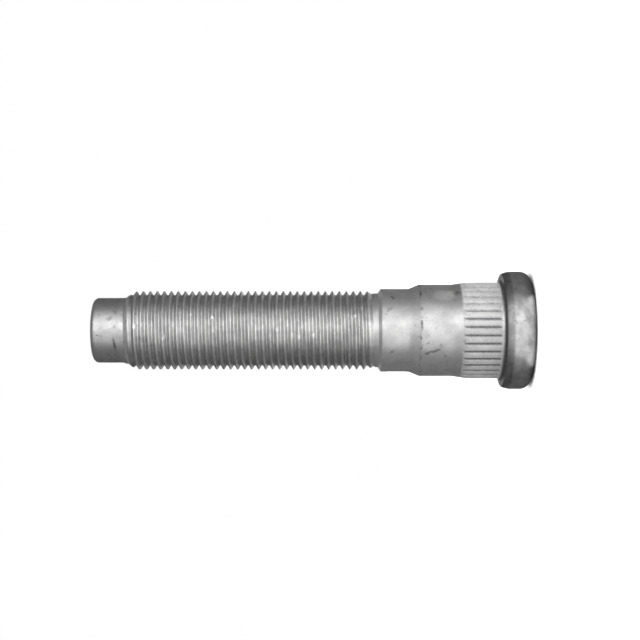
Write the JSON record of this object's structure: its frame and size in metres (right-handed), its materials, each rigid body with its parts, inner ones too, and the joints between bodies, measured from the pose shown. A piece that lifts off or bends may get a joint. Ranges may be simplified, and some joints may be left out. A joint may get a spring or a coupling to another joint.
{
  "type": "wheel stud",
  "caption": "Press-in wheel stud with a round head, a serrated neck, a plain collar and shank, a long fine right-hand thread and an unthreaded pilot tip.",
  "frame": {"origin": "centre of the head's flat outer face, which the stud stands on", "axes": "+Z along the stud's axis from the head to the tip; X and Y are free, because the stud is round"},
  "size_m": [0.0237, 0.0236, 0.0879],
  "materials": {
    "coated_steel": "matte silver-grey coat on forged steel, with small scuffs and dark nicks"
  },
  "bodies": {
    "root": {"wheel_stud": "coated_steel"}
  },
  "joints": []
}
